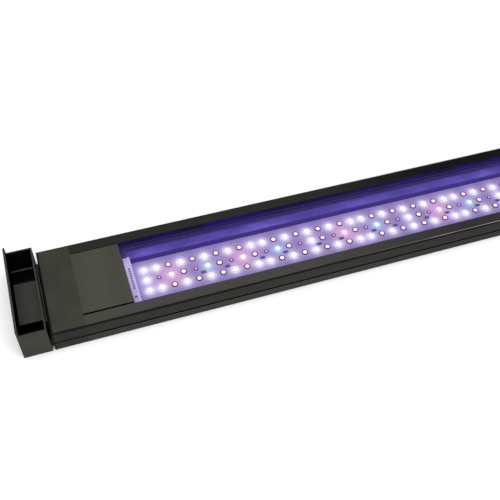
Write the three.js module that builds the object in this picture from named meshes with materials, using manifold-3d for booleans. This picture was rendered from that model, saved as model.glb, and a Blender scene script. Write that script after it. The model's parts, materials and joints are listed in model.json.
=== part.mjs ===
// LED aquarium light bar with a sliding docking mount at each end.
// Millimetres. X runs along the bar, Y across it, Z up from its finned back; the light side faces +Z.
import * as THREE from 'three';
import { mergeVertices } from 'three/addons/utils/BufferGeometryUtils.js';
import Module from 'manifold-3d';

const wasm = await Module();
wasm.setup();

// Driving dimensions
const BODY_LENGTH = 852.4;
const HALF_WIDTH = 54;
const HEIGHT = 25.8;
const CAP_LENGTH = 32.6;
const BAY_END = 82.4; // cover plate edge, measured in from the body's end face
const GAP = 0.3; // clearance between touching pieces
const BACK_THICKNESS = 2;
const FIN_COUNT = 11;
const FIN_PITCH = 4.8;
const FIN_GROOVE = 2;
const FIN_DEPTH = 0.9;
const WINDOW_HALF_TOP = 41;
const BOARD_HALF = 27.3;
const BOARD_TOP = 4;
const LENS_BOTTOM = 19;
const LENS_TOP = 21;
const STRIP_START = 84;
const STRIP_END = 91.4;
const STRIP_TOP = 10.4;
const STRIP_SCREW = { d: 87, y: -22 };
const STRIP_CONTACTS = 9;
const STRIP_CONTACT_FIRST = 15.5;
const STRIP_CONTACT_PITCH = 3.3;
const LED_COLUMNS = 50;
const LED_FIRST = 102.8; // first column, measured in from the body's end face
const LED_PITCH = 13.2;
const LED_ROW_OFFSET = 13.95;
const ARM = { y0: 37, y1: 49.8, z0: 3, z1: 12.2, wall: 1.6 };
const ARM_CENTRE = { y: (ARM.y0 + ARM.y1) / 2, z: (ARM.z0 + ARM.z1) / 2 };
const ARM_INNER_END = 190;
const SHOE_START = 181;
const SLOT_CLEARANCE = 0.4;
const DOCK = { outer: -30, plate: -27.9, wallOut: -4.1, wallIn: -2.6 };
const TIE = { out: -2.3, in: -1.2, half: 36, top: 25.4 };
const DOCK_PLATE_TOP = 41.9;
const DOCK_WALL_TOP = 34.2;
const DOCK_FLOOR = 2.2;
const SHELF_TOP = 15;
const SHELF_HALF = 26;
const CAP_SCREW = { y: 32.2, z: 5.6 };
const INLET = { d: 16.3, z: 18.9, flange: 5, body: 4, bore: 2.9, pin: 1.05 };
const LEFT = -1;
const RIGHT = 1;
const SIDES = { left: LEFT, right: RIGHT };

// Materials
const paint = (color, roughness, metalness) => new THREE.MeshStandardMaterial({ color, roughness, metalness });
const ANODISED = paint('#3b3a35', 0.45, 0.6);
const CAP_PLASTIC = paint('#41413a', 0.6, 0);
const PLATE_METAL = paint('#4c4c43', 0.5, 0.4);
const DOCK_PLASTIC = paint('#383833', 0.6, 0);
const ARM_METAL = paint('#2b2b29', 0.4, 0.8);
const RUBBER = paint('#161616', 0.85, 0);
const CLEAR = paint('#dfe6f5', 0.08, 0);
const BOARD_WHITE = paint('#d9d6ea', 0.5, 0);
const STRIP_WHITE = paint('#cfc6e6', 0.5, 0);
const STEEL = paint('#8d8f92', 0.35, 1);
const SHOE_PLASTIC = paint('#e4e2dc', 0.6, 0);
const CIRCUIT = paint('#1f5a3a', 0.5, 0);
const PART_BLACK = paint('#1a1a1c', 0.55, 0);
const COPPER = paint('#a8703a', 0.4, 0.9);
const TERMINAL = paint('#2e7d4a', 0.5, 0);
const BRASS = paint('#c8a24a', 0.3, 1);
const WIRE_RED = paint('#a32020', 0.6, 0);
const WIRE_BLACK = paint('#151515', 0.6, 0);

const group = new THREE.Group();
group.name = 'led_aquarium_light';

// --- Shape helpers -------------------------------------------------------

// Distance in from an end face, turned into an X position on that side.
function along(side, distance) {
  return side * (BODY_LENGTH / 2 - distance);
}

function block(xa, xb, ya, yb, za, zb) {
  const box = new THREE.BoxGeometry(Math.abs(xb - xa), Math.abs(yb - ya), Math.abs(zb - za));
  return box.translate((xa + xb) / 2, (ya + yb) / 2, (za + zb) / 2);
}

function sideBlock(side, d0, d1, ya, yb, za, zb) {
  return block(along(side, d0), along(side, d1), ya, yb, za, zb);
}

// Outline in Y and Z, pushed along X.
function prismX(outline, xa, xb, holes = []) {
  const shape = new THREE.Shape(outline.map(([y, z]) => new THREE.Vector2(y, z)));
  for (const hole of holes) {
    shape.holes.push(new THREE.Path(hole.map(([y, z]) => new THREE.Vector2(y, z))));
  }
  const start = Math.min(xa, xb);
  const prism = new THREE.ExtrudeGeometry(shape, { depth: Math.abs(xb - xa), bevelEnabled: false });
  return prism.applyMatrix4(new THREE.Matrix4().set(0, 0, 1, start, 1, 0, 0, 0, 0, 1, 0, 0, 0, 0, 0, 1));
}

function rodX(xa, xb, y, z, radius, segments = 16) {
  const rod = new THREE.CylinderGeometry(radius, radius, Math.abs(xb - xa), segments);
  return rod.rotateZ(Math.PI / 2).translate((xa + xb) / 2, y, z);
}

function rodY(x, ya, yb, z, radius, segments = 24) {
  const rod = new THREE.CylinderGeometry(radius, radius, Math.abs(yb - ya), segments);
  return rod.translate(x, (ya + yb) / 2, z);
}

function rodZ(x, y, za, zb, radius, segments = 16) {
  const rod = new THREE.CylinderGeometry(radius, radius, Math.abs(zb - za), segments);
  return rod.rotateX(Math.PI / 2).translate(x, y, (za + zb) / 2);
}

function rectangle(y0, y1, z0, z1) {
  return [[y0, z0], [y1, z0], [y1, z1], [y0, z1]];
}

function circle(y, z, radius, segments) {
  const points = [];
  for (let i = 0; i < segments; i += 1) {
    const angle = (i / segments) * Math.PI * 2;
    points.push([y + radius * Math.cos(angle), z + radius * Math.sin(angle)]);
  }
  return points;
}

function mirrored(points) {
  return points.map(([y, z]) => [-y, z]).reverse();
}

// --- Booleans and nodes --------------------------------------------------

function solid(geometry) {
  const bare = new THREE.BufferGeometry();
  bare.setAttribute('position', geometry.getAttribute('position').clone());
  if (geometry.index) bare.setIndex(geometry.index.clone());
  const merged = mergeVertices(bare, 1e-4);
  const index = merged.index.array;
  const kept = [];
  for (let i = 0; i < index.length; i += 3) {
    const [a, b, c] = [index[i], index[i + 1], index[i + 2]];
    if (a !== b && b !== c && a !== c) kept.push(a, b, c);
  }
  return new wasm.Manifold(new wasm.Mesh({
    numProp: 3,
    vertProperties: new Float32Array(merged.getAttribute('position').array),
    triVerts: new Uint32Array(kept),
  }));
}

function union(geometries) {
  return geometries.map(solid).reduce((total, next) => total.add(next));
}

function cut(base, geometries) {
  return geometries.map(solid).reduce((total, next) => total.subtract(next), base);
}

function geometryOf(shape) {
  const data = shape.getMesh();
  const geometry = new THREE.BufferGeometry();
  geometry.setAttribute('position', new THREE.BufferAttribute(new Float32Array(data.vertProperties), 3));
  geometry.setIndex(new THREE.BufferAttribute(new Uint32Array(data.triVerts), 1));
  return geometry;
}

function addPiece(name, shape, material) {
  const geometry = geometryOf(shape).toNonIndexed();
  geometry.computeVertexNormals();
  const mesh = new THREE.Mesh(geometry, material);
  mesh.name = name;
  group.add(mesh);
}

// --- Housing -------------------------------------------------------------

// Sloping trough wall: half-width of the window at a height.
function troughHalf(z) {
  return BOARD_HALF + 0.2 + (z - BOARD_TOP) * ((WINDOW_HALF_TOP - BOARD_HALF - 0.2) / (HEIGHT - BOARD_TOP));
}

// Outer side of the body from the back corner up to the rounded top corner.
const SIDE_PROFILE = [
  [53.4, 0], [54, 0.6], [54, 9.5], [52.4, 9.5], [52.4, 11.5], [54, 11.5],
  [54, 24.2], [53.85, 24.9], [53.4, 25.4], [52.8, 25.7], [52.2, HEIGHT],
];

function finOutline() {
  const points = [];
  for (let i = 0; i < FIN_COUNT; i += 1) {
    const y = (i - (FIN_COUNT - 1) / 2) * FIN_PITCH;
    points.push([y - FIN_GROOVE / 2, 0], [y - FIN_GROOVE / 2, FIN_DEPTH]);
    points.push([y + FIN_GROOVE / 2, FIN_DEPTH], [y + FIN_GROOVE / 2, 0]);
  }
  return points;
}

function troughSide() {
  const slotTop = LENS_TOP + 0.2;
  const slotBottom = LENS_BOTTOM - 0.2;
  const boardSlot = BOARD_TOP + 0.2;
  return [
    [WINDOW_HALF_TOP, HEIGHT], [troughHalf(slotTop), slotTop], [39.8, slotTop], [39.8, slotBottom],
    [troughHalf(slotBottom), slotBottom], [troughHalf(boardSlot), boardSlot],
    [troughHalf(boardSlot), BACK_THICKNESS],
  ];
}

function railHoles() {
  const armChannel = rectangle(36.4, 50.2, 2.2, 13.2);
  const railVoid = [
    [36.4, 14.8], [51.8, 14.8], [51.8, 23.6], [42.8, 23.6], [41.4, 22.2], [41.4, 17.4], [38, 17.4],
  ];
  const screwPort = circle(CAP_SCREW.y, CAP_SCREW.z, 1.4, 12);
  return [armChannel, railVoid, screwPort];
}

function housingExtrusion() {
  const right = [...SIDE_PROFILE, ...troughSide()];
  const outline = [...finOutline(), ...right, ...mirrored(right)];
  const holes = railHoles().flatMap((hole) => [hole, mirrored(hole)]);
  return solid(prismX(outline, along(LEFT, CAP_LENGTH + GAP), along(RIGHT, CAP_LENGTH + GAP), holes));
}

// --- End caps ------------------------------------------------------------

function endCap(side) {
  const outline = [...SIDE_PROFILE, ...mirrored(SIDE_PROFILE)];
  const cuts = [
    sideBlock(side, 3, CAP_LENGTH + 1, -27.6, 27.6, 2.6, 23.2),
    sideBlock(side, CAP_LENGTH - 1, CAP_LENGTH + 1, -29.4, 29.4, 1.6, 24.2),
  ];
  for (const hand of [-1, 1]) {
    const slot = [hand * (ARM.y0 - SLOT_CLEARANCE), hand * (ARM.y1 + SLOT_CLEARANCE)];
    cuts.push(sideBlock(side, -1, CAP_LENGTH + 1, ...slot, ARM.z0 - SLOT_CLEARANCE, ARM.z1 + SLOT_CLEARANCE));
    cuts.push(rodX(along(side, -1), along(side, 26), hand * CAP_SCREW.y, CAP_SCREW.z, 2.9, 20));
    cuts.push(rodX(along(side, 25), along(side, CAP_LENGTH + 1), hand * CAP_SCREW.y, CAP_SCREW.z, 1.8, 20));
    if (side === LEFT || hand === -1) {
      cuts.push(sideBlock(side, 6, CAP_LENGTH + 1, hand * 31.5, hand * 51.4, 15, 23.4));
    }
  }
  if (side === RIGHT) {
    const x = along(side, INLET.d);
    cuts.push(rodY(x, 20, 60, INLET.z, INLET.body + GAP));
    cuts.push(rodY(x, 51, 60, INLET.z, INLET.flange + GAP));
  }
  return cut(solid(prismX(outline, along(side, 0), along(side, CAP_LENGTH))), cuts);
}

function endGasket(side) {
  const outline = rectangle(-29.1, 29.1, 1.9, 23.9);
  const hole = rectangle(-27.3, 27.3, 2.9, 22.9);
  return solid(prismX(outline, along(side, CAP_LENGTH - 0.9), along(side, CAP_LENGTH - 0.1), [hole]));
}

// Countersunk screw with a hexagonal recess, head face at the origin and shank towards -Y.
function screwShape(headRadius, headHeight, shankRadius, length) {
  const profile = [
    [0, -length], [shankRadius * 0.6, -length], [shankRadius, -length + 1],
    [shankRadius, -headHeight], [headRadius, -headHeight * 0.25], [headRadius, 0], [0, 0],
  ];
  const lathe = new THREE.LatheGeometry(profile.map(([r, y]) => new THREE.Vector2(r, y)), 16);
  const recess = new THREE.CylinderGeometry(headRadius * 0.42, headRadius * 0.42, 2, 6).translate(0, 0.3, 0);
  return cut(solid(lathe), [recess]);
}

function capScrew(side, hand) {
  const shape = screwShape(2.6, 1.6, 1.3, 15).rotate([0, 0, side === RIGHT ? -90 : 90]);
  return shape.translate([along(side, 24.2), hand * CAP_SCREW.y, CAP_SCREW.z]);
}

// --- Cover plates, lens and seals ----------------------------------------

// Flush plate over each electronics bay, folded down at both ends.
function coverPlate(side) {
  const start = CAP_LENGTH + 2 * GAP;
  const skin = sideBlock(side, start, BAY_END, -39.5, 40, HEIGHT - 1, HEIGHT - 0.1);
  const tall = [
    [-27, 2.4], [27, 2.4], [27, 4.2], [39, HEIGHT - 0.8], [-39, HEIGHT - 0.8], [-27, 4.2],
  ];
  const short = [[-37.8, 22.6], [37.8, 22.6], [38.8, HEIGHT - 0.8], [-38.8, HEIGHT - 0.8]];
  const folded = union([
    skin,
    prismX(tall, along(side, start), along(side, start + 1)),
    prismX(short, along(side, BAY_END - 1.2), along(side, BAY_END - 0.2)),
  ]);
  return cut(folded, [sideBlock(side, start - 1, start + 2, 3, 15, 15, 22.4)]);
}

function lensCover() {
  return solid(block(along(LEFT, 80), along(RIGHT, 80), -39.4, 39.4, LENS_BOTTOM, LENS_TOP));
}

function lensSeal(side) {
  return solid(sideBlock(side, 80.4, BAY_END - 0.1, -37.4, 37.4, LENS_TOP + GAP, 22.3));
}

// --- LED boards ----------------------------------------------------------

// Package size of the LED at a column and row: small ones sit between the large ones on the middle row.
function packageSize(column, row) {
  const small = row === 1 && column % 3 === 1;
  return small ? { half: 1.4, top: 4.9 } : { half: 2.5, top: 5.3 };
}

function ledBoard(side, firstColumn, lastColumn) {
  const inner = side === LEFT ? -GAP / 2 : GAP / 2;
  const board = block(along(side, STRIP_START + 0.4), inner, -BOARD_HALF, BOARD_HALF, 2.3, BOARD_TOP);
  const pieces = [board];
  for (let column = firstColumn; column <= lastColumn; column += 1) {
    const x = along(LEFT, LED_FIRST + column * LED_PITCH);
    for (let row = 0; row < 3; row += 1) {
      const y = (row - 1) * LED_ROW_OFFSET;
      const { half, top } = packageSize(column, row);
      pieces.push(block(x - half, x + half, y - half, y + half, 3.5, top));
    }
  }
  return cut(union(pieces), [rodZ(along(side, STRIP_SCREW.d), STRIP_SCREW.y, 1, 6, 1.7, 12)]);
}

// Stepped strip across the trough: it clamps the board's end, takes the feed wires and closes the bay.
function endStrip(side) {
  const step = STRIP_END - 2.6;
  const foot = BOARD_TOP + GAP;
  const ridge = STRIP_TOP + 0.6;
  const wedge = (top) => [
    [-26.9, foot], [26.9, foot], [troughHalf(top) - 0.4, top], [0.4 - troughHalf(top), top],
  ];
  const base = union([
    prismX(wedge(STRIP_TOP), along(side, STRIP_START), along(side, STRIP_END)),
    prismX(wedge(ridge), along(side, step), along(side, STRIP_END)),
  ]);
  const x = along(side, STRIP_SCREW.d);
  const cuts = [
    rodZ(x, STRIP_SCREW.y, 3, 12, 1.5, 12),
    rodZ(x, STRIP_SCREW.y, STRIP_TOP - 1.6, 12, 1.7 + 0.1, 16),
  ];
  for (let contact = 0; contact < STRIP_CONTACTS; contact += 1) {
    const y = STRIP_CONTACT_FIRST - contact * STRIP_CONTACT_PITCH;
    cuts.push(sideBlock(side, 87.3, 88.4, y - 0.7, y + 0.7, STRIP_TOP - 0.8, 12));
  }
  return cut(base, cuts);
}

function stripScrew(side) {
  const shape = screwShape(1.6, 1.1, 1.1, 7.4).rotate([90, 0, 0]);
  return shape.translate([along(side, STRIP_SCREW.d), STRIP_SCREW.y, STRIP_TOP - 0.3]);
}

// --- Electronics in the two bays -----------------------------------------

function bayTray(side) {
  const pieces = [sideBlock(side, 36, 80, -24, 24, 2.4, 3.6)];
  for (const d of [39, 77]) {
    for (const y of [-20, 20]) pieces.push(rodZ(along(side, d), y, 3, 6, 2, 12));
  }
  return union(pieces);
}

function bayBoard(side) {
  return solid(sideBlock(side, 36.6, 79.4, -23, 23, 6.3, 7.9));
}

function onBoard(side, d0, d1, y0, y1, height) {
  return solid(sideBlock(side, d0, d1, y0, y1, 8.2, 8.2 + height));
}

function connectorShell(side, d0, d1, y0, y1, height) {
  const openings = [-1, 1].map((hand) => {
    const y = (y0 + y1) / 2 + hand * 3;
    return sideBlock(side, d1 - 4, d1 + 1, y - 1.6, y + 1.6, 10, 13.6);
  });
  return cut(onBoard(side, d0, d1, y0, y1, height), openings);
}

function inductor(side) {
  const core = rodZ(along(side, 47), -13, 8.2, 14.2, 6.5, 20);
  return cut(solid(core), [rodZ(along(side, 47), -13, 7, 16, 2.8, 16)]);
}

function capacitor(side) {
  const profile = [[0, 0], [3.6, 0], [4, 0.4], [4, 10.6], [3.6, 11], [0, 11]];
  const can = new THREE.LatheGeometry(profile.map(([r, y]) => new THREE.Vector2(r, y)), 20);
  return solid(can.rotateX(Math.PI / 2).translate(along(side, 49), 14, 8.2));
}

function wire(points, radius) {
  const path = new THREE.CatmullRomCurve3(points.map((p) => new THREE.Vector3(...p)));
  const section = new THREE.Shape(circle(0, 0, radius, 8).map(([a, b]) => new THREE.Vector2(a, b)));
  return solid(new THREE.ExtrudeGeometry(section, { steps: 10, bevelEnabled: false, extrudePath: path }));
}

function feedWire(side, y) {
  return wire([
    [along(side, 76.4), y, 11.8], [along(side, 78.6), y, 12.1],
    [along(side, 81), y, 10.6], [along(side, 83.6), y, 10],
  ], 0.8);
}

// --- Power inlet ---------------------------------------------------------

function inletShell() {
  const x = along(RIGHT, INLET.d);
  const shell = union([rodY(x, 21, 52.8, INLET.z, INLET.body), rodY(x, 52.4, 53.6, INLET.z, INLET.flange)]);
  return cut(shell, [rodY(x, 43, 60, INLET.z, INLET.bore), rodY(x, 15, 50, INLET.z, INLET.pin + GAP)]);
}

function inletPin() {
  return solid(rodY(along(RIGHT, INLET.d), 19, 52.4, INLET.z, INLET.pin, 16));
}

function inletNut() {
  const x = along(RIGHT, INLET.d);
  const nut = new THREE.CylinderGeometry(5.4, 5.4, 2.4, 6).translate(x, 26, INLET.z - 1.4);
  return cut(solid(nut), [rodY(x, 20, 30, INLET.z, INLET.body + GAP)]);
}

function inletSeal() {
  const ring = new THREE.TorusGeometry(4.75, 0.4, 8, 28);
  return solid(ring.rotateX(Math.PI / 2).translate(along(RIGHT, INLET.d), 51.7, INLET.z));
}

function inletWire(offset) {
  const x = along(RIGHT, INLET.d);
  const z = INLET.z + offset * 0.5;
  return wire([
    [x + offset * 0.2, 17.6, z - 1], [x - 5, 14 + offset, 18.6], [along(RIGHT, 33.5), 9 + offset, 18.6],
    [along(RIGHT, 44), 1 + offset, 16], [along(RIGHT, 60), -1 + offset, 14], [along(RIGHT, 67.4), offset * 1.5, 12],
  ], 0.8);
}

// --- Docking mounts ------------------------------------------------------

function dockShell(side) {
  const full = HALF_WIDTH;
  const box = union([
    sideBlock(side, DOCK.outer, DOCK.plate, -full, full, 0, DOCK_PLATE_TOP),
    sideBlock(side, DOCK.outer, DOCK.wallIn, -full, full, 0, DOCK_FLOOR),
    sideBlock(side, DOCK.wallOut, DOCK.wallIn, -full, full, 0, DOCK_WALL_TOP),
    sideBlock(side, DOCK.outer, DOCK.wallIn, -full, -full + 1.8, 0, DOCK_WALL_TOP),
    sideBlock(side, DOCK.outer, DOCK.wallIn, full - 1.8, full, 0, DOCK_WALL_TOP),
    sideBlock(side, DOCK.outer + 1, DOCK.wallIn - 1, -SHELF_HALF, SHELF_HALF, SHELF_TOP - 2.2, SHELF_TOP),
    sideBlock(side, DOCK.outer + 1, DOCK.wallIn - 1, -1, 1, 1, SHELF_TOP - 1),
    sideBlock(side, DOCK.outer + 1, DOCK.wallIn - 1, 42.8, 44.8, 12.7, SHELF_TOP),
    sideBlock(side, DOCK.outer + 1, DOCK.wallIn - 1, -44.8, -42.8, 12.7, SHELF_TOP),
  ]);
  const holes = [-1, 1].map((hand) => (
    rodX(along(side, DOCK.wallOut - 2), along(side, 0), hand * ARM_CENTRE.y, ARM_CENTRE.z, 1.6)
  ));
  return cut(box, holes);
}

// Thin steel plate on the inner wall that stiffens it between the two arms.
function tiePlate(side) {
  return solid(sideBlock(side, TIE.out, TIE.in, -TIE.half, TIE.half, 1.2, TIE.top));
}

// Square tube with a tapped block in its outer end.
function slideArm(side, hand) {
  const { y0, y1, z0, z1, wall } = ARM;
  const ordered = (points) => (hand === 1 ? points : points.slice().reverse());
  const outer = ordered(rectangle(hand * y0, hand * y1, z0, z1));
  const inner = ordered(rectangle(hand * (y0 + wall), hand * (y1 - wall), z0 + wall, z1 - wall));
  const start = DOCK.wallIn + GAP;
  const tube = prismX(outer, along(side, start), along(side, ARM_INNER_END), [inner]);
  const endBlock = sideBlock(side, start, 8, hand * (y0 + 0.5), hand * (y1 - 0.5), z0 + 0.5, z1 - 0.5);
  const tapped = rodX(along(side, -6), along(side, 6), hand * ARM_CENTRE.y, ARM_CENTRE.z, 1.5);
  return cut(union([tube, endBlock]), [tapped]);
}

function armScrew(side, hand) {
  const shape = screwShape(2.8, 1.3, 1.3, 9.5).rotate([0, 0, side === RIGHT ? -90 : 90]);
  return shape.translate([along(side, DOCK.wallOut - GAP - 1.3), hand * ARM_CENTRE.y, ARM_CENTRE.z]);
}

// Plastic shoe on the inner end of an arm: it runs in the channel and cannot pass the end cap.
function armShoe(side, hand) {
  const collar = [
    sideBlock(side, SHOE_START, ARM_INNER_END + 4, hand * 36.7, hand * 49.95, 2.45, 12.95),
  ];
  const sleeve = [
    sideBlock(side, SHOE_START - 1, ARM_INNER_END + GAP, hand * (ARM.y0 - 0.15), hand * (ARM.y1 + 0.08), 2.85, 12.35),
  ];
  return cut(solid(collar[0]), sleeve);
}

// --- Assembly ------------------------------------------------------------

addPiece('housing_extrusion', housingExtrusion(), ANODISED);
addPiece('lens_cover', lensCover(), CLEAR);
addPiece('led_board_left', ledBoard(LEFT, 0, LED_COLUMNS / 2 - 1), BOARD_WHITE);
addPiece('led_board_right', ledBoard(RIGHT, LED_COLUMNS / 2, LED_COLUMNS - 1), BOARD_WHITE);

for (const [label, side] of Object.entries(SIDES)) {
  addPiece(`end_cap_${label}`, endCap(side), CAP_PLASTIC);
  addPiece(`end_gasket_${label}`, endGasket(side), RUBBER);
  addPiece(`cover_plate_${label}`, coverPlate(side), PLATE_METAL);
  addPiece(`lens_seal_${label}`, lensSeal(side), RUBBER);
  addPiece(`end_strip_${label}`, endStrip(side), STRIP_WHITE);
  addPiece(`strip_screw_${label}`, stripScrew(side), STEEL);
  addPiece(`bay_tray_${label}`, bayTray(side), PART_BLACK);
  addPiece(`bay_board_${label}`, bayBoard(side), CIRCUIT);
  addPiece(`dock_shell_${label}`, dockShell(side), DOCK_PLASTIC);
  addPiece(`tie_plate_${label}`, tiePlate(side), ARM_METAL);
  for (const [place, hand] of [['front', -1], ['rear', 1]]) {
    addPiece(`cap_screw_${label}_${place}`, capScrew(side, hand), STEEL);
    addPiece(`slide_arm_${label}_${place}`, slideArm(side, hand), ARM_METAL);
    addPiece(`arm_shoe_${label}_${place}`, armShoe(side, hand), SHOE_PLASTIC);
    addPiece(`arm_screw_${label}_${place}`, armScrew(side, hand), STEEL);
  }
}

addPiece('control_module', onBoard(LEFT, 42, 60, -16, 4, 4.6), PART_BLACK);
addPiece('control_plug', connectorShell(LEFT, 68, 76, -7, 7, 7), TERMINAL);
addPiece('driver_transformer', onBoard(RIGHT, 55, 66, 4.8, 18.8, 9.4), COPPER);
addPiece('driver_capacitor', capacitor(RIGHT), PART_BLACK);
addPiece('driver_inductor', inductor(RIGHT), COPPER);
addPiece('driver_terminal', connectorShell(RIGHT, 68, 76, -7, 7, 7), TERMINAL);
addPiece('feed_wire_left_red', feedWire(LEFT, -3), WIRE_RED);
addPiece('feed_wire_left_black', feedWire(LEFT, 3), WIRE_BLACK);
addPiece('feed_wire_right_red', feedWire(RIGHT, -3), WIRE_RED);
addPiece('feed_wire_right_black', feedWire(RIGHT, 3), WIRE_BLACK);

addPiece('inlet_shell', inletShell(), PART_BLACK);
addPiece('inlet_pin', inletPin(), BRASS);
addPiece('inlet_nut', inletNut(), STEEL);
addPiece('inlet_seal', inletSeal(), RUBBER);
addPiece('inlet_wire_red', inletWire(-2), WIRE_RED);
addPiece('inlet_wire_black', inletWire(2), WIRE_BLACK);

export default group;
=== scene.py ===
"""The looks of the LED aquarium light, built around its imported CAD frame."""
import json
import math

import bmesh
import bpy
from mathutils import Matrix, Vector


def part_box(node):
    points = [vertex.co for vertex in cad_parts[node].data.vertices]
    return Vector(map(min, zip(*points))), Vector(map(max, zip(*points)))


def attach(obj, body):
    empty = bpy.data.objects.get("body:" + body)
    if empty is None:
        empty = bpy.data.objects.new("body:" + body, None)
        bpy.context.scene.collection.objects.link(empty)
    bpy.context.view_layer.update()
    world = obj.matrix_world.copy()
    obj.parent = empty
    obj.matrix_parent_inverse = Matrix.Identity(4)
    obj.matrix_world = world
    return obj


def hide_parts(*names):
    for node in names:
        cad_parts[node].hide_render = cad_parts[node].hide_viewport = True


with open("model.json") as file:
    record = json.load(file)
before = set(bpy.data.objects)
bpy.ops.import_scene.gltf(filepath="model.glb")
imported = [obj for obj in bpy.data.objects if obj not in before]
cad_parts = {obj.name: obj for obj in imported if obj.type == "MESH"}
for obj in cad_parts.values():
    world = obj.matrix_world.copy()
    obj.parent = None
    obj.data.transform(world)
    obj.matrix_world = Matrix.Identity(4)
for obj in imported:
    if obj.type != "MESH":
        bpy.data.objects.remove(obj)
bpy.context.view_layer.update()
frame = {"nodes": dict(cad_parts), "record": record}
nodes = frame["nodes"]
SLOTS = {part["node"]: part["material_slot"] for part in frame["record"]["subparts"]}
SIGN = {"left": -1, "right": 1}
MM = 0.001

# Camera
CAMERA_PLACE = Vector((-0.38412, -0.47114, 0.58589))
CAMERA_AZIMUTH = math.radians(20.26)
CAMERA_DOWN = math.radians(48.75)
CAMERA_ROLL = math.radians(1.98)
CAMERA_LENS = 51.35
CAMERA_SENSOR = 36
CAMERA_CLIP = (0.01, 50)

# Studio: each softbox as name, place, target, size and power
WORLD_COLOR = (0.97, 0.98, 1, 1)
WORLD_STRENGTH = 0.45
SOFTBOXES = (
    ("overhead_softbox", (-0.4, -0.5, 2.2), (-0.1, 0, 0), (2.6, 2.6), 56),
    ("front_softbox", (0.9, -1.6, 1.1), (0.1, 0, 0), (1.2, 0.7), 10),
)
FLOOR_HALF = 8
FLOOR_DROP = 0.4 * MM

# LED layout
LED_COLUMNS = 50
LED_PITCH = 13.2 * MM
LED_ROW = 13.95 * MM
BOARD_TOP = 4.0 * MM

# Pads on the end strips
CONTACTS = 9
STRIP_TOP = 10.4 * MM
CONTACT_X = 338.35 * MM
CONTACT_FIRST = 15.5 * MM
CONTACT_PITCH = 3.3 * MM


# --- Camera, floor and lights ----------------------------------------------

def make_camera():
    """A camera at the photograph's viewing angle."""
    camera = bpy.data.objects.new("camera", bpy.data.cameras.new("camera"))
    bpy.context.collection.objects.link(camera)
    view = Vector((
        math.sin(CAMERA_AZIMUTH) * math.cos(CAMERA_DOWN),
        math.cos(CAMERA_AZIMUTH) * math.cos(CAMERA_DOWN),
        -math.sin(CAMERA_DOWN),
    ))
    turn = view.to_track_quat("-Z", "Y").to_matrix().to_4x4()
    camera.matrix_world = Matrix.Translation(CAMERA_PLACE) @ turn @ Matrix.Rotation(CAMERA_ROLL, 4, "Z")
    camera.data.lens = CAMERA_LENS
    camera.data.sensor_width = CAMERA_SENSOR
    camera.data.clip_start, camera.data.clip_end = CAMERA_CLIP
    bpy.context.scene.camera = camera


def area_light(name, place, target, size, power):
    data = bpy.data.lights.new(name, "AREA")
    data.shape = "RECTANGLE"
    data.size, data.size_y = size
    data.energy = power
    lamp = bpy.data.objects.new(name, data)
    bpy.context.collection.objects.link(lamp)
    lamp.location = place
    lamp.rotation_euler = (Vector(target) - Vector(place)).to_track_quat("-Z", "Y").to_euler()


def make_studio():
    world = bpy.data.worlds.new("studio")
    bpy.context.scene.world = world
    world.use_nodes = True
    background = world.node_tree.nodes["Background"]
    background.inputs["Color"].default_value = WORLD_COLOR
    background.inputs["Strength"].default_value = WORLD_STRENGTH
    for softbox in SOFTBOXES:
        area_light(*softbox)
    bpy.context.scene.view_settings.view_transform = "Standard"


def make_floor():
    mesh = bpy.data.meshes.new("floor")
    half = FLOOR_HALF
    corners = [(-half, -half, 0), (half, -half, 0), (half, half, 0), (-half, half, 0)]
    mesh.from_pydata(corners, [], [(0, 1, 2, 3)])
    floor = bpy.data.objects.new("floor", mesh)
    floor.location.z = -FLOOR_DROP
    bpy.context.collection.objects.link(floor)
    floor.data.materials.append(plain_material("floor_paper", (0.93, 0.93, 0.93), 0.9))


# --- Materials ---------------------------------------------------------------

def new_material(name):
    material = bpy.data.materials.new(name)
    material.use_nodes = True
    return material, material.node_tree, material.node_tree.nodes["Principled BSDF"]


def plain_material(name, color, roughness):
    material, _, shader = new_material(name)
    shader.inputs["Base Color"].default_value = (*color, 1)
    shader.inputs["Roughness"].default_value = roughness
    return material


def linear(value):
    """sRGB 0 to 255 turned into linear light."""
    value /= 255
    return value / 12.92 if value <= 0.04045 else ((value + 0.055) / 1.055) ** 2.4


def rgb(red, green, blue):
    return (linear(red), linear(green), linear(blue))


def banded_ramp(tree, factor, stops):
    """A colour ramp through stops of (position, colour)."""
    ramp = tree.nodes.new("ShaderNodeValToRGB")
    ramp.color_ramp.elements[0].position = stops[0][0]
    ramp.color_ramp.elements[0].color = (*stops[0][1], 1)
    ramp.color_ramp.elements[1].position = stops[-1][0]
    ramp.color_ramp.elements[1].color = (*stops[-1][1], 1)
    for position, color in stops[1:-1]:
        ramp.color_ramp.elements.new(position).color = (*color, 1)
    tree.links.new(factor, ramp.inputs["Fac"])
    return ramp.outputs["Color"]


def ramp_between(tree, factor, low, high):
    """Two colours, blended over the middle of a noise's range."""
    return banded_ramp(tree, factor, ((0.35, low), (0.65, high)))


def noise_of(tree, scale, detail, stretch=(1, 1, 1)):
    """Soft noise fixed to the object, stretched along an axis where stretch is below 1."""
    coordinates = tree.nodes.new("ShaderNodeTexCoord")
    mapping = tree.nodes.new("ShaderNodeMapping")
    mapping.inputs["Scale"].default_value = stretch
    noise = tree.nodes.new("ShaderNodeTexNoise")
    noise.inputs["Scale"].default_value = scale
    noise.inputs["Detail"].default_value = detail
    tree.links.new(coordinates.outputs["Object"], mapping.inputs["Vector"])
    tree.links.new(mapping.outputs["Vector"], noise.inputs["Vector"])
    return noise.outputs["Fac"]


def add_bump(tree, shader, height, strength, distance):
    bump = tree.nodes.new("ShaderNodeBump")
    bump.inputs["Strength"].default_value = strength
    bump.inputs["Distance"].default_value = distance
    tree.links.new(height, bump.inputs["Height"])
    tree.links.new(bump.outputs["Normal"], shader.inputs["Normal"])


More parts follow.
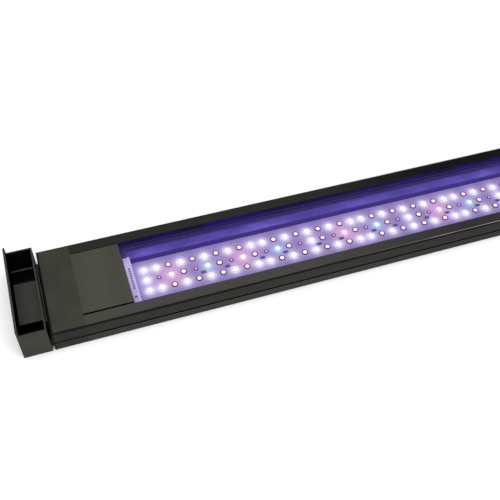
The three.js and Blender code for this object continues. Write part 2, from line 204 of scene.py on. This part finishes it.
GRAIN_SCALE = 900
GRAIN_STRENGTH = 0.15
GRAIN_DEPTH = 0.04 * MM


def textured(name, low, high, rough, scale, stretch=(1, 1, 1), metallic=0.0, coat=0.0, specular=0.2):
    """A surface whose colour and gloss drift softly, with a fine grain in its relief."""
    material, tree, shader = new_material(name)
    drift = noise_of(tree, scale, 5, stretch)
    tree.links.new(ramp_between(tree, drift, low, high), shader.inputs["Base Color"])
    gloss = tree.nodes.new("ShaderNodeMapRange")
    gloss.inputs["To Min"].default_value = rough[0]
    gloss.inputs["To Max"].default_value = rough[1]
    fine = noise_of(tree, GRAIN_SCALE, 3, stretch)
    tree.links.new(fine, gloss.inputs["Value"])
    tree.links.new(gloss.outputs["Result"], shader.inputs["Roughness"])
    shader.inputs["Metallic"].default_value = metallic
    shader.inputs["Coat Weight"].default_value = coat
    shader.inputs["Specular IOR Level"].default_value = specular
    add_bump(tree, shader, fine, GRAIN_STRENGTH, GRAIN_DEPTH)
    return material


BRUSHED = (0.04, 1, 1)
MATERIALS = {
    "cover_metal": textured("cover_metal", rgb(60, 60, 52), rgb(65, 65, 56), (0.4, 0.5), 50,
                            (1, 0.05, 1), specular=0.1),
    "arm_metal": textured("arm_metal", rgb(20, 20, 19), rgb(30, 30, 28), (0.3, 0.5), 40, BRUSHED, 0.3),
    "tie_metal": textured("tie_metal", rgb(34, 34, 30), rgb(42, 42, 37), (0.4, 0.5), 40,
                          (1, 0.1, 1), 0.2),
    "seal_rubber": textured("seal_rubber", rgb(14, 14, 14), rgb(24, 24, 24), (0.7, 0.9), 80),
    "strip_plastic": textured("strip_plastic", rgb(186, 168, 222), rgb(200, 182, 232), (0.4, 0.6), 80),
    "screw_steel": textured("screw_steel", rgb(120, 122, 126), rgb(150, 152, 156), (0.2, 0.4), 300,
                            metallic=1),
    "shoe_plastic": textured("shoe_plastic", rgb(215, 212, 204), rgb(232, 230, 222), (0.4, 0.6), 100),
    "circuit_board": textured("circuit_board", rgb(18, 70, 44), rgb(30, 96, 62), (0.3, 0.4), 200, coat=0.4),
    "black_plastic": textured("black_plastic", rgb(20, 20, 22), rgb(32, 32, 35), (0.45, 0.65), 120),
    "winding_copper": textured("winding_copper", rgb(150, 90, 45), rgb(196, 128, 72), (0.3, 0.5), 400,
                               (1, 1, 8), 0.8),
    "terminal_plastic": textured("terminal_plastic", rgb(36, 118, 66), rgb(50, 140, 82), (0.35, 0.5), 150),
    "contact_brass": textured("contact_brass", rgb(190, 152, 72), rgb(214, 178, 96), (0.2, 0.35), 200,
                              metallic=1),
    "wire_red": textured("wire_red", rgb(150, 26, 26), rgb(176, 38, 36), (0.4, 0.6), 200),
    "wire_black": textured("wire_black", rgb(22, 22, 24), rgb(34, 34, 36), (0.4, 0.6), 200),
    "led_board_white": textured("led_board", rgb(170, 158, 214), rgb(188, 176, 226), (0.35, 0.5), 120),
}


def math_node(tree, operation, first, second=None):
    node = tree.nodes.new("ShaderNodeMath")
    node.operation = operation
    for socket, value in zip(node.inputs, (first, second)):
        if value is None:
            continue
        if isinstance(value, (int, float)):
            socket.default_value = value
        else:
            tree.links.new(value, socket)
    return node.outputs["Value"]


def place_axes(tree):
    """The X, Y and Z outputs of a point's place on the object."""
    split = tree.nodes.new("ShaderNodeSeparateXYZ")
    tree.links.new(tree.nodes.new("ShaderNodeTexCoord").outputs["Object"], split.inputs["Vector"])
    return split.outputs["X"], split.outputs["Y"], split.outputs["Z"]


def fade(tree, value, start, end, low=0.0, high=1.0):
    """A factor that runs from low at start to high at end."""
    node = tree.nodes.new("ShaderNodeMapRange")
    for socket, number in (("From Min", start), ("From Max", end), ("To Min", low), ("To Max", high)):
        node.inputs[socket].default_value = number
    tree.links.new(value, node.inputs["Value"])
    return node.outputs["Result"]


def above(tree, value, limit):
    return math_node(tree, "GREATER_THAN", value, limit)


def below(tree, value, limit):
    return math_node(tree, "LESS_THAN", value, limit)


def both(tree, first, second):
    return math_node(tree, "MULTIPLY", first, second)


def between(tree, value, low, high):
    return both(tree, above(tree, value, low), below(tree, value, high))


def mix_colors(tree, factor, first, second):
    mix = tree.nodes.new("ShaderNodeMix")
    mix.data_type = "RGBA"
    tree.links.new(factor, mix.inputs["Factor"])
    for socket, value in ((mix.inputs["A"], first), (mix.inputs["B"], second)):
        if isinstance(value, tuple):
            socket.default_value = (*value, 1)
        else:
            tree.links.new(value, socket)
    return mix.outputs["Result"]


def base_color_of(shader):
    return shader.inputs["Base Color"].links[0].from_socket


# The housing's cross-section: heights from the floor, and distances out from its middle
TROUGH_LOW = 4.0 * MM
TROUGH_HIGH = 25.8 * MM
TROUGH_HALF = 40.9 * MM
BAY_EDGE = 343.9 * MM
SIDE_FACE = 53.5 * MM
GROOVE_FLOOR = 51.8 * MM
SIDE_GROOVE = (9.45 * MM, 11.55 * MM)
# The band along the top's rounded edge that is painted dark, as a reflection
TOP_EDGE_DARK_BAND = (23.3 * MM, 25.72 * MM)
# Where the painted highlight along the top edges lies
HIGHLIGHT_FROM = 25.3 * MM
HIGHLIGHT_BAND = (52.15 * MM, 52.9 * MM)
CAP_RIM = 424.5 * MM

# The docking mount: its pocket along and across the bar, and what stands in it
POCKET_IN = 430.25 * MM
POCKET_OUT = 454.25 * MM
POCKET_HALF = 52.4 * MM
POCKET_FLOOR = 1.0 * MM
WALL_TOP = 34.05 * MM
PLATE_TOP = 41.75 * MM
SHELF = (14.9 * MM, 15.1 * MM)
SHELF_HALF = 26.2 * MM
RIB = (14.6 * MM, 15.2 * MM)
RIB_ACROSS = (42.6 * MM, 45.0 * MM)
FACING_CAP = (428.0 * MM, 429.1 * MM)


def height_in_trough(millimetres):
    return (millimetres * MM - TROUGH_LOW) / (TROUGH_HIGH - TROUGH_LOW)


def side_mask(tree, across, z):
    """How deep a side face's shade is: full on the upper band, half on the lower one."""
    shade = fade(tree, z, 9.4 * MM, 9.8 * MM, 0.3, 0.7)
    return both(tree, above(tree, across, SIDE_FACE), shade)


def groove_and_edge_shade_mask(tree, across, z):
    """Painted shade in the groove along the side, and a painted dark reflection along the top's rounded
    edge.
    """
    groove = between(tree, z, *SIDE_GROOVE)
    edge = between(tree, z, *TOP_EDGE_DARK_BAND)
    return both(tree, above(tree, across, GROOVE_FLOOR), math_node(tree, "ADD", groove, edge))


def painted_edge_highlight(tree, x, across, z):
    """A painted highlight along the long top edges, in patches, growing towards the right end."""
    edge = both(tree, above(tree, z, HIGHLIGHT_FROM), between(tree, across, *HIGHLIGHT_BAND))
    patchy = fade(tree, noise_of(tree, 40, 3, (0.3, 1, 1)), 0.4, 0.6, 0.3, 1)
    along = fade(tree, x, -0.12, -0.02, 0, 0.8)
    return both(tree, edge, both(tree, patchy, along))


def housing_material():
    """Dark bronze anodising, drawn lengthwise, with painted light and shade: its trough walls violet with
    the light they catch and its reflections, near black past the lit length; the far rail and the right end
    darker; shaded sides; a dark groove and top edge; and a highlight along the top edges.
    """
    material = textured("anodised", rgb(58, 56, 51), rgb(65, 63, 57), (0.36, 0.5), 30, BRUSHED,
                        specular=0.1)
    tree = material.node_tree
    shader = tree.nodes["Principled BSDF"]
    x, y, z = place_axes(tree)
    across = math_node(tree, "ABSOLUTE", y)
    inside = both(tree, below(tree, across, TROUGH_HALF), above(tree, z, TROUGH_LOW + 0.1 * MM))
    # Painted light: bands of the LEDs' violet light and its reflections up the trough walls, with a thin
    # painted highlight at the lens edge
    bands = banded_ramp(tree, fade(tree, z, TROUGH_LOW, TROUGH_HIGH), (
        (height_in_trough(4.5), rgb(38, 18, 98)),
        (height_in_trough(7.6), rgb(42, 20, 104)),
        (height_in_trough(8.8), rgb(88, 68, 164)),
        (height_in_trough(14.6), rgb(72, 54, 148)),
        (height_in_trough(16.6), rgb(14, 0, 74)),
        (height_in_trough(20.6), rgb(12, 0, 71)),
        (height_in_trough(21.2), rgb(84, 46, 122)),
        (height_in_trough(21.9), rgb(16, 2, 68)),
        (height_in_trough(25.0), rgb(10, 1, 46)),
    ))
    # Painted reflections: darker and brighter blotches across the bands
    light_mottle = noise_of(tree, 60, 2, (0.5, 1, 1))
    bands = mix_colors(tree, fade(tree, light_mottle, 0.45, 0.7, 0, 0.6), bands, rgb(34, 10, 114))
    light_patch = both(tree, between(tree, z, 8.2 * MM, 15.6 * MM), fade(tree, light_mottle, 0.45, 0.3, 0, 0.5))
    bands = mix_colors(tree, light_patch, bands, rgb(104, 92, 190))
    # Painted shade: the walls darken towards the end bays and are near black past them
    outward = math_node(tree, "ABSOLUTE", x)
    lit = below(tree, outward, BAY_EDGE)
    bands = mix_colors(tree, fade(tree, outward, 0.328, 0.343, 0, 0.55), bands, rgb(26, 20, 60))
    trough = mix_colors(tree, lit, rgb(8, 8, 8), bands)
    # Painted shade: the far rail darker, the whole skin darkening towards the right end, the far rail's
    # right end near black
    rear = above(tree, y, TROUGH_HALF)
    rail = mix_colors(tree, fade(tree, rear, 0, 1, 0, 0.72), base_color_of(shader), rgb(10, 10, 9))
    rail = mix_colors(tree, fade(tree, x, -0.16, 0.02, 0, 0.55), rail, rgb(6, 6, 8))
    rear_end = both(tree, rear, fade(tree, x, -0.1, 0.04, 0, 0.9))
    rail = mix_colors(tree, rear_end, rail, rgb(1, 1, 2))
    # Painted shade on the side faces
    skin = mix_colors(tree, side_mask(tree, across, z), rail, rgb(20, 18, 15))
    # Painted shade in the side groove and a painted dark reflection along the top edge, near black
    skin = mix_colors(tree, groove_and_edge_shade_mask(tree, across, z), skin, rgb(3, 3, 3))
    # Painted highlight along the top edges
    skin = mix_colors(tree, painted_edge_highlight(tree, x, across, z), skin, rgb(150, 142, 136))
    tree.links.new(mix_colors(tree, inside, skin, trough), shader.inputs["Base Color"])
    return material


def dock_material(side):
    """Textured black-brown moulding, with painted shade inside its deep pockets and on the wall face
    towards the cap.
    """
    material = textured("dock_plastic_" + side, rgb(53, 53, 46), rgb(60, 60, 52), (0.5, 0.62), 50,
                        specular=0.1)
    tree = material.node_tree
    shader = tree.nodes["Principled BSDF"]
    x, y, z = place_axes(tree)
    outward = math_node(tree, "ABSOLUTE", x)
    along = math_node(tree, "ABSOLUTE", y)
    inner = between(tree, outward, POCKET_IN, POCKET_OUT)
    inner = both(tree, inner, below(tree, along, POCKET_HALF))
    inner = both(tree, inner, above(tree, z, POCKET_FLOOR))
    pocket = both(tree, inner, fade(tree, z, 34.1 * MM, 33.6 * MM))
    plate = both(tree, inner, below(tree, z, PLATE_TOP))
    shelf = both(tree, between(tree, z, *SHELF), below(tree, along, SHELF_HALF))
    rib = both(tree, between(tree, z, *RIB), between(tree, along, *RIB_ACROSS))
    dark = both(tree, pocket, math_node(tree, "SUBTRACT", 1.0, shelf))
    facing_cap = both(tree, between(tree, outward, *FACING_CAP), below(tree, z, WALL_TOP))
    # Painted shade: the dock's inside darkened and its pockets near black below the wall top, the shelf and
    # rib tops left lighter; the wall face towards the cap near black
    color = mix_colors(tree, plate, base_color_of(shader), rgb(14, 14, 11))
    color = mix_colors(tree, dark, color, rgb(1, 1, 1))
    color = mix_colors(tree, both(tree, shelf, inner), color, rgb(58, 58, 51))
    color = mix_colors(tree, rib, color, rgb(58, 52, 58))
    color = mix_colors(tree, facing_cap, color, rgb(3, 3, 3))
    tree.links.new(color, shader.inputs["Base Color"])
    return material


def cap_material():
    """Moulded end cap: the outer rim and the side faces fall into shade."""
    material = textured("cap_plastic", rgb(48, 48, 40), rgb(55, 55, 46), (0.5, 0.65), 40, specular=0.1)
    tree = material.node_tree
    shader = tree.nodes["Principled BSDF"]
    x, y, z = place_axes(tree)
    across = math_node(tree, "ABSOLUTE", y)
    rim = above(tree, math_node(tree, "ABSOLUTE", x), CAP_RIM)
    # Painted shade on the side faces
    color = mix_colors(tree, side_mask(tree, across, z), base_color_of(shader), rgb(20, 18, 15))
    # Painted shade in the side groove and a painted dark reflection along the top edge, near black
    color = mix_colors(tree, groove_and_edge_shade_mask(tree, across, z), color, rgb(3, 3, 3))
    # Painted shade: the cap's outer rim near black
    color = mix_colors(tree, rim, color, rgb(4, 4, 4))
    tree.links.new(color, shader.inputs["Base Color"])
    return material


def lens_material():
    """Clear sheet, nearly invisible from above."""
    material, _, shader = new_material("clear_acrylic")
    shader.inputs["Base Color"].default_value = (0.3, 0.3, 0.6, 1)
    shader.inputs["Roughness"].default_value = 0.06
    shader.inputs["Alpha"].default_value = 0.03
    return material


def lighten_edges_highlight_and_wear(material, edge_color):
    """Lightens the broken edges, in patches: a painted highlight along them, and wear where hands and
    packaging have rubbed them.
    """
    tree = material.node_tree
    shader = tree.nodes["Principled BSDF"]
    mark = tree.nodes.new("ShaderNodeAttribute")
    mark.attribute_name = "edge_highlight_and_wear"
    patches = fade(tree, noise_of(tree, 90, 3), 0.38, 0.62, 0.25, 0.9)
    factor = both(tree, mark.outputs["Fac"], patches)
    tree.links.new(mix_colors(tree, factor, base_color_of(shader), edge_color), shader.inputs["Base Color"])


MATERIALS["clear_lens"] = lens_material()
MATERIALS["anodised_housing"] = housing_material()
MATERIALS["cap_plastic"] = cap_material()
DOCK_MATERIALS = {side: dock_material(side) for side in SIGN}
# Painted shade: matt near black for the faces down inside the pockets
POCKET_SHADE = textured("dock_pocket_shade", rgb(2, 2, 2), rgb(6, 6, 6), (0.85, 0.95), 50, specular=0.0)
# Painted highlight and wear, lighter in patches, along the broken edges of these parts
for edge_lit_piece in (MATERIALS["cap_plastic"], MATERIALS["cover_metal"], *DOCK_MATERIALS.values()):
    lighten_edges_highlight_and_wear(edge_lit_piece, rgb(92, 90, 80))
lighten_edges_highlight_and_wear(MATERIALS["tie_metal"], rgb(110, 106, 96))


def dress_nodes():
    """Gives every CAD node the material of its slot; the two docks have one each."""
    for name, node in nodes.items():
        material = MATERIALS.get(SLOTS[name]) or DOCK_MATERIALS[name.split("_")[-1]]
        node.data.materials.clear()
        node.data.materials.append(material)


# --- Mesh building -------------------------------------------------------------

def add_object(name, mesh, material, body="housing", replaced=()):
    piece = bpy.data.objects.new(name, mesh)
    bpy.context.collection.objects.link(piece)
    if material is not None:
        mesh.materials.append(material)
    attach(piece, body)
    for node in replaced:
        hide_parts(node)
    return piece


def mesh_from(shape, name, smooth_angle=35):
    mesh = bpy.data.meshes.new(name)
    shape.to_mesh(mesh)
    shape.free()
    mesh.shade_smooth()
    mesh.set_sharp_from_angle(angle=math.radians(smooth_angle))
    return mesh


def add_box(shape, center, size, chamfer=0.0):
    made = bmesh.ops.create_cube(shape, size=1)["verts"]
    bmesh.ops.scale(shape, vec=size, verts=made)
    bmesh.ops.translate(shape, vec=center, verts=made)
    if chamfer:
        edges = list({edge for vert in made for edge in vert.link_edges})
        bmesh.ops.bevel(shape, geom=edges, offset=chamfer, segments=1, affect="EDGES")


def add_turned(shape, center, profile, segments=20):
    """A closed solid turned about the vertical through center, from a profile of (radius, height)."""
    rings = []
    for radius, height in profile:
        if radius == 0:
            rings.append([shape.verts.new((center[0], center[1], center[2] + height))])
            continue
        ring = []
        for step in range(segments):
            angle = 2 * math.pi * step / segments
            ring.append(shape.verts.new((center[0] + radius * math.cos(angle),
                                         center[1] + radius * math.sin(angle),
                                         center[2] + height)))
        rings.append(ring)
    for low, high in zip(rings, rings[1:]):
        for step in range(segments):
            after = (step + 1) % segments
            if len(low) == 1:
                shape.faces.new((low[0], high[after], high[step]))
            elif len(high) == 1:
                shape.faces.new((low[step], low[after], high[0]))
            else:
                shape.faces.new((low[step], low[after], high[after], high[step]))


# --- LED boards ------------------------------------------------------------------

BODY_HALF = 426.2 * MM
LED_FIRST_X = -BODY_HALF + 102.8 * MM
OUTER_ROW = "WWRWRWRWR"  # W is a white LED and R a ring LED, every nine columns
SPOTS = ("pink", "cyan", "pink", "cyan", "white")  # every third LED of the middle row
WIDE_GLOW = 6  # mm: glows wider than this are laid down before the narrow ones

# What each kind of LED throws on the board: (tint, strength, radius in mm), one or more
GLOW = {
    "W": (((0.93, 0.92, 1.0), 1.0, 4.4), ((0.64, 0.56, 0.82), 0.36, 9.5)),
    "white": (((0.95, 0.95, 1.0), 1.0, 4.4), ((0.64, 0.56, 0.82), 0.36, 9.5)),
    "pink": (((1.0, 0.8, 0.92), 0.9, 3.2), ((0.78, 0.36, 0.56), 0.6, 13)),
    "cyan": (((0.62, 0.95, 1.0), 0.9, 3.2), ((0.34, 0.5, 0.78), 0.6, 9)),
    "R": (((0.6, 0.36, 0.62), 0.3, 5),),
    "tiny": (((0.4, 0.2, 0.4), 0.3, 3.4),),
}
# Painted light: the white mask's colour in the LEDs' violet light
LED_LIT_SOLDER_MASK = (0.14, 0.105, 0.29)
GRID_STEP = 1.3 * MM
GLOW_REACH = 22 * MM
LAMP_MARGIN = 10 * MM


def spot_kind(order):
    """The coloured spots of the middle row: pink, cyan, then pink, cyan, white over and over."""
    return SPOTS[order] if order < 2 else SPOTS[2 + (order - 2) % 3]


def led_kind(column, row):
    """W, R, tiny, or the name of a coloured spot; row 0 is the front one."""
    if row != 1:
        return OUTER_ROW[column % len(OUTER_ROW)]
    if column == 0:
        return "W"
    if column % 3 == 0:
        return "R"
    if column % 3 == 1:
        return "tiny"
    return spot_kind(column // 3)


def led_places():
    """Column, row, kind, x and y of every LED."""
    for column in range(LED_COLUMNS):
        for row in range(3):
            x = LED_FIRST_X + column * LED_PITCH
            yield column, row, led_kind(column, row), x, (row - 1) * LED_ROW


def board_glow(x, y, lamps):
    """The board's colour at a point: the mask in painted violet light, washed by the painted light of each
    nearby LED.
    """
    color = Vector(LED_LIT_SOLDER_MASK)
    for wide_first in (True, False):
        for kind, lx, ly in lamps:
            for tint, power, radius in GLOW[kind]:
                if (radius > WIDE_GLOW) != wide_first:
                    continue
                distance = math.hypot(x - lx, y - ly) / (radius * MM)
                color = color.lerp(Vector(tint), power * math.exp(-distance * distance))
    return color


def board_material():
    """Solder mask with the LEDs' light painted on: the violet cast, the glow and its speckles, and it
    lights itself a little as painted light.
    """
    material, tree, shader = new_material("led_board")
    glow = tree.nodes.new("ShaderNodeAttribute")
    glow.attribute_name = "glow"
    grain = noise_of(tree, 700, 3)
    speckles = fade(tree, grain, 0.5, 0.72, 0, 0.4)
    speckled = mix_colors(tree, speckles, glow.outputs["Color"], rgb(150, 96, 160))
    tree.links.new(speckled, shader.inputs["Base Color"])
    tree.links.new(speckled, shader.inputs["Emission Color"])
    shader.inputs["Emission Strength"].default_value = 0.3
    shader.inputs["Roughness"].default_value = 0.45
    add_bump(tree, shader, grain, 0.2, 0.05 * MM)
    return material


def make_board(side, material):
    """The board's plate: a fine grid on top that carries the glow, closed by a skirt and a floor.

    It leaves out the CAD board's screw hole, which lies under the end strip.
    """
    low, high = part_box("led_board_" + side)
    bottom = low[2]
    lamps = [(kind, x, y) for _, _, kind, x, y in led_places()
             if low[0] - LAMP_MARGIN < x < high[0] + LAMP_MARGIN]
    count_x = round((high[0] - low[0]) / GRID_STEP)
    count_y = round((high[1] - low[1]) / GRID_STEP)
    shape = bmesh.new()
    glow = shape.verts.layers.float_color.new("glow")
    grid = []
    for i in range(count_x + 1):
        x = low[0] + (high[0] - low[0]) * i / count_x
        near = [lamp for lamp in lamps if abs(lamp[1] - x) < GLOW_REACH]
        column = []
        for j in range(count_y + 1):
            y = low[1] + (high[1] - low[1]) * j / count_y
            vert = shape.verts.new((x, y, BOARD_TOP))
            vert[glow] = (*board_glow(x, y, near), 1)
            column.append(vert)
        grid.append(column)
    for first, second in zip(grid, grid[1:]):
        for j in range(count_y):
            shape.faces.new((first[j], second[j], second[j + 1], first[j + 1]))
    rim = [edge for edge in shape.edges if edge.is_boundary]
    skirt = bmesh.ops.extrude_edge_only(shape, edges=rim)["geom"]
    for item in skirt:
        if isinstance(item, bmesh.types.BMVert):
            item.co.z = bottom
    outline = [item for item in skirt if isinstance(item, bmesh.types.BMEdge)
               and item.verts[0].co.z == bottom and item.verts[1].co.z == bottom]
    bmesh.ops.contextual_create(shape, geom=outline)
    bmesh.ops.recalc_face_normals(shape, faces=shape.faces)
    name = "led_board_plate_" + side
    add_object(name, mesh_from(shape, name, 30), material,
               replaced=["led_board_" + side])


def glowing(name, color, strength):
    """A lit phosphor or lens."""
    material, tree, shader = new_material(name)
    dimmer = tuple(part * 0.8 for part in color)
    phosphor = ramp_between(tree, noise_of(tree, 2500, 2), dimmer, color)
    tree.links.new(phosphor, shader.inputs["Base Color"])
    shader.inputs["Roughness"].default_value = 0.25
    shader.inputs["Emission Color"].default_value = (*color, 1)
    shader.inputs["Emission Strength"].default_value = strength
    return material


def sided(kinds, side):
    """The places (x, y) of these kinds of LED on one side's board."""
    return [(x, y) for _, _, kind, x, y in led_places() if kind in kinds and x * SIGN[side] > 0]


def resistor_places(side):
    """Halfway between some middle-row LEDs and the front-row LED of the next column."""
    return [(x + LED_PITCH / 2, y - LED_ROW / 2) for column, row, kind, x, y in led_places()
            if row == 1 and kind != "W" and has_resistor(column) and x * SIGN[side] > 0]


def make_joined(name, places, build, material):
    """One mesh of many small pieces, built at each place on the board."""
    shape = bmesh.new()
    for place in places:
        build(shape, *place)
    bmesh.ops.recalc_face_normals(shape, faces=shape.faces)
    add_object(name, mesh_from(shape, name), material)


def led_package(shape, x, y):
    """The white ceramic body."""
    size = 4.8 * MM
    add_box(shape, (x, y, BOARD_TOP + 0.55 * MM), (size, size, 1.0 * MM), 0.2 * MM)


def led_feet(shape, x, y):
    """The four stubs of solder beside a body."""
    for turn in (-1, 1):
        for shift in (-1.4, 1.4):
            add_box(shape, (x + turn * 2.5 * MM, y + shift * MM, BOARD_TOP + 0.2 * MM),
                    (0.7 * MM, 1.0 * MM, 0.3 * MM), 0.08 * MM)


def dome_profile(radius, base, top):
    """A quarter arc from the rim up to the middle, over a flat base."""
    steps = 5
    points = [(0, base), (radius, base)]
    for step in range(1, steps):
        angle = math.pi / 2 * step / steps
        points.append((radius * math.cos(angle), base + (top - base) * math.sin(angle)))
    return [(r * MM, h * MM) for r, h in points + [(0, top)]]


def big_dome(shape, x, y):
    add_turned(shape, (x, y, BOARD_TOP), dome_profile(2.3, 1.06, 1.8))


def ring_cup(shape, x, y):
    profile = [(0, 0.1), (3.3, 0.1), (3.5, 0.4), (3.5, 1.0), (3.3, 1.25), (2.6, 1.25), (2.45, 0.9),
               (0, 0.9)]
    add_turned(shape, (x, y, BOARD_TOP), [(r * MM, h * MM) for r, h in profile], 24)


def ring_lens(shape, x, y):
    add_turned(shape, (x, y, BOARD_TOP), dome_profile(2.35, 0.92, 1.7))


def tiny_cup(shape, x, y):
    profile = [(0, 0.05), (2.4, 0.05), (2.4, 0.7), (2.2, 0.85), (1.6, 0.85), (1.45, 0.6), (0, 0.6)]
    add_turned(shape, (x, y, BOARD_TOP), [(r * MM, h * MM) for r, h in profile], 18)


def tiny_lens(shape, x, y):
    add_turned(shape, (x, y, BOARD_TOP), dome_profile(1.35, 0.62, 1.0))


def resistor(shape, x, y):
    add_box(shape, (x, y, BOARD_TOP + 0.45 * MM), (4.8 * MM, 3.0 * MM, 0.8 * MM), 0.1 * MM)


def resistor_ends(shape, x, y):
    for shift in (-2.75, 2.75):
        add_box(shape, (x + shift * MM, y, BOARD_TOP + 0.4 * MM),
                (0.9 * MM, 3.06 * MM, 0.74 * MM), 0.08 * MM)


def has_resistor(column):
    """Two columns in five, from the fifth on."""
    return column > 3 and column % 5 in (1, 4)


def make_strip_contacts(material):
    """The row of small dark pads along each end strip."""
    for side, sign in SIGN.items():
        name = "strip_contacts_" + side
        shape = bmesh.new()
        for order in range(CONTACTS):
            y = CONTACT_FIRST - order * CONTACT_PITCH
            add_box(shape, (sign * CONTACT_X, y, STRIP_TOP + 0.06 * MM),
                    (1.9 * MM, 1.6 * MM, 0.16 * MM), 0.04 * MM)
        add_object(name, mesh_from(shape, name), material)


def make_leds():
    """The two boards and everything on them, each kind of part joined into one mesh a side."""
    board = board_material()
    ceramic = textured("led_ceramic", rgb(214, 208, 236), rgb(232, 228, 246), (0.3, 0.5), 900)
    solder = textured("solder", rgb(150, 148, 168), rgb(186, 184, 200), (0.25, 0.4), 900, metallic=0.9)
    purple = textured("lens_ring", rgb(50, 16, 66), rgb(76, 28, 92), (0.2, 0.35), 600)
    crimson = textured("tiny_ring", rgb(76, 24, 88), rgb(102, 36, 110), (0.2, 0.35), 600)
    chip = textured("resistor_body", rgb(62, 50, 136), rgb(80, 66, 156), (0.3, 0.45), 500)
    white = glowing("glow_white", (0.94, 0.96, 1.0), 3)
    pink = glowing("glow_pink", (1.0, 0.72, 0.9), 3)
    cyan = glowing("glow_cyan", (0.6, 0.97, 1.0), 1.7)
    rose = glowing("glow_rose", (1.0, 0.66, 0.86), 0.7)
    ruby = glowing("glow_ruby", (0.7, 0.36, 0.62), 0.3)
    make_strip_contacts(textured("contact_pad", rgb(46, 26, 92), rgb(66, 40, 116), (0.3, 0.45), 900))
    big = ("W", "white", "pink", "cyan")
    rows = (
        ("led_packages_", big, led_package, ceramic),
        ("led_feet_", big, led_feet, solder),
        ("led_domes_white_", ("W", "white"), big_dome, white),
        ("led_domes_pink_", ("pink",), big_dome, pink),
        ("led_domes_cyan_", ("cyan",), big_dome, cyan),
        ("led_rings_", ("R",), ring_cup, purple),
        ("led_ring_lenses_", ("R",), ring_lens, rose),
        ("led_tiny_rings_", ("tiny",), tiny_cup, crimson),
        ("led_tiny_lenses_", ("tiny",), tiny_lens, ruby),
    )
    for side in SIGN:
        make_board(side, board)
        for name, kinds, build, material in rows:
            make_joined(name + side, sided(kinds, side), build, material)
        make_joined("resistors_" + side, resistor_places(side), resistor, chip)
        make_joined("resistor_ends_" + side, resistor_places(side), resistor_ends, solder)


# --- Bevelled copies of the visible hard parts --------------------------------------

WELD = 0.002 * MM
FLAT_ANGLE = math.radians(1)
SHARP_ANGLE = math.radians(28)

FINE_BEVEL = 0.12 * MM
WIDE_BEVEL = 0.2 * MM

# The faces that the visual copies move, and how far: a positive shift is towards the middle.
# Together the two shifts are more than the 0.6 mm between cap and plate in the CAD, so the
# two copies overlap by 0.14 mm.
CAP_INNER_END = BODY_HALF - 32.6 * MM
CAP_SHIFT = 0.24 * MM
PLATE_OUTER_END = BODY_HALF - 33.2 * MM
PLATE_SHIFT = -0.5 * MM
END_REACH = 0.05 * MM
PLATE_NEAR_EDGE = (-39.6 * MM, -39.3 * MM)
PLATE_NEAR_EDGE_SHOWN = -38.6 * MM

# How far the faces with painted shade reach inside the dock's pocket
SHADE_OUT = 454.15 * MM
SHADE_HALF = 52.25 * MM


def mark_edge_highlight_and_wear(shape, narrow_faces):
    """Marks the narrow faces along the broken edges 1 and every other face 0."""
    edge_highlight_and_wear = shape.loops.layers.float_color.new("edge_highlight_and_wear")
    narrow = set(narrow_faces)
    for face in shape.faces:
        level = 1.0 if face in narrow else 0.0
        for loop in face.loops:
            loop[edge_highlight_and_wear] = (level, level, level, 1.0)


def bevelled(node, width, adjust=None):
    """A copy of a CAD piece with its edges broken, which then stands for it."""
    source = nodes[node]
    shape = bmesh.new()
    shape.from_mesh(source.data)
    bmesh.ops.remove_doubles(shape, verts=shape.verts, dist=WELD)
    bmesh.ops.dissolve_limit(shape, angle_limit=FLAT_ANGLE, verts=shape.verts, edges=shape.edges)
    if adjust:
        for vert in shape.verts:
            vert.co = adjust(vert.co)
    edges = [edge for edge in shape.edges
             if len(edge.link_faces) == 2 and edge.calc_face_angle() > SHARP_ANGLE]
    broken = bmesh.ops.bevel(shape, geom=edges, offset=width, segments=2, affect="EDGES",
                             clamp_overlap=True)
    mark_edge_highlight_and_wear(shape, broken["faces"])
    body = [label for label, members in frame["record"]["behaviour"]["bodies"].items()
            if node in members][0]
    name = node + "_finished"
    return add_object(name, mesh_from(shape, name, 30), source.data.materials[0], body, [node])


def closing(side, face, shift):
    """Moves one end face along the bar, and a plate's near edge inward across it."""
    low, high = PLATE_NEAR_EDGE

    def adjust(point):
        x = point.x - SIGN[side] * shift if abs(abs(point.x) - face) < END_REACH else point.x
        y = PLATE_NEAR_EDGE_SHOWN if low < point.y < high else point.y
        return Vector((x, y, point.z))

    return adjust


def darken_pockets(dock):
    """Gives the faces down inside the dock's pockets a matt, near-black finish: painted shade."""
    dock.data.materials.append(POCKET_SHADE)
    for face in dock.data.polygons:
        middle = face.center
        inside = POCKET_IN < abs(middle.x) < SHADE_OUT and abs(middle.y) < SHADE_HALF
        if inside and POCKET_FLOOR < middle.z < WALL_TOP and face.normal.z < 0.5:
            face.material_index = 1


def make_bevels():
    for side in SIGN:
        bevelled("end_cap_" + side, FINE_BEVEL, closing(side, CAP_INNER_END, CAP_SHIFT))
        bevelled("cover_plate_" + side, FINE_BEVEL, closing(side, PLATE_OUTER_END, PLATE_SHIFT))
        darken_pockets(bevelled("dock_shell_" + side, WIDE_BEVEL))
        bevelled("tie_plate_" + side, WIDE_BEVEL)
        bevelled("end_strip_" + side, FINE_BEVEL)


make_camera()
make_studio()
make_floor()
dress_nodes()
make_leds()
make_bevels()
